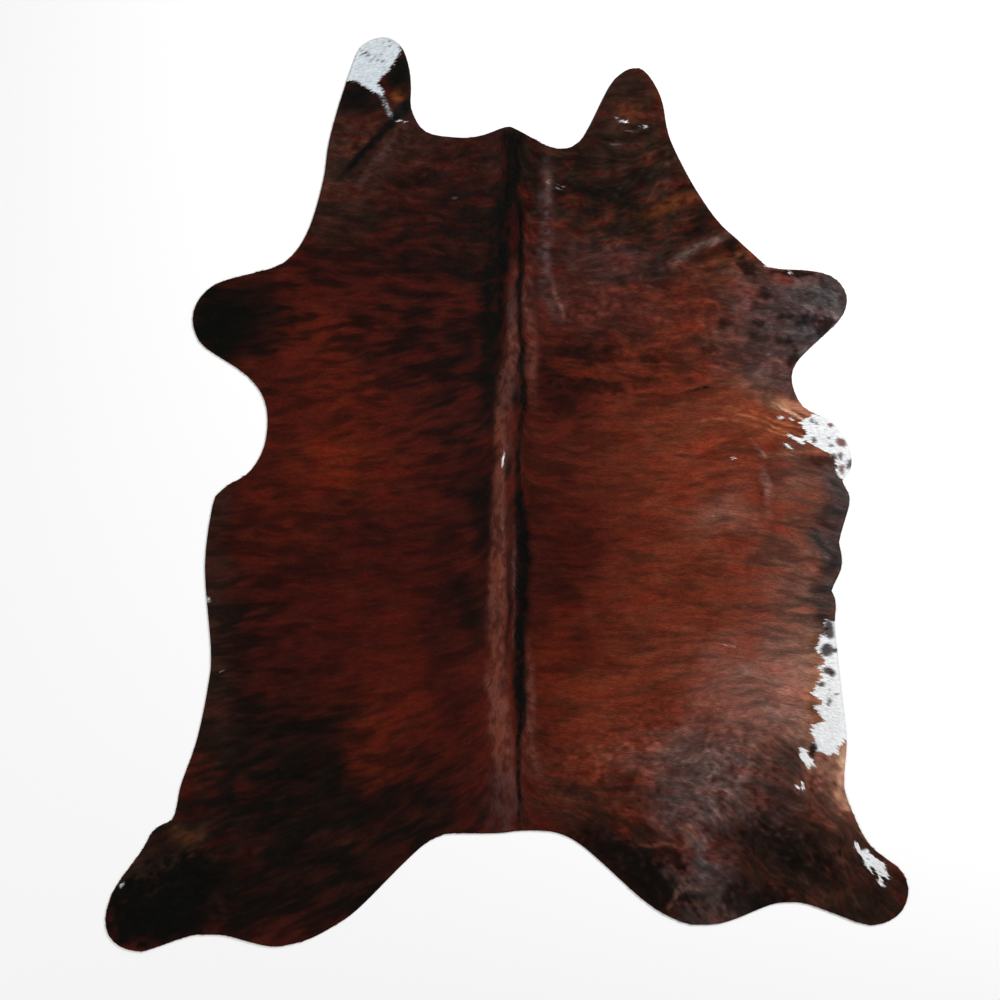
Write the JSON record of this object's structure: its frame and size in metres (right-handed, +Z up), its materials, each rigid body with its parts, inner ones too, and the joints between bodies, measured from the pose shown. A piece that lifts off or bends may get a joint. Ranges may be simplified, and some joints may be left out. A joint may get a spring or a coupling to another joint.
{
  "type": "cowhide rug",
  "caption": "Whole hair-on hide laid flat as a rug, brindled red-brown and black with white patches, with neck flaps, legs, a creased spine and a ruffled flank.",
  "frame": {"origin": "on the floor under the middle of the hide's outline", "axes": "+Z up, from the leather side to the hair side; +Y along the spine, from the tail edge to the neck; +X across the hide"},
  "size_m": [1.933, 2.2008, 0.0136],
  "materials": {
    "hair_on_hide": "short glossy hair on tanned leather, red-brown with black brindle"
  },
  "bodies": {
    "root": {"hide": "hair_on_hide"}
  },
  "joints": []
}
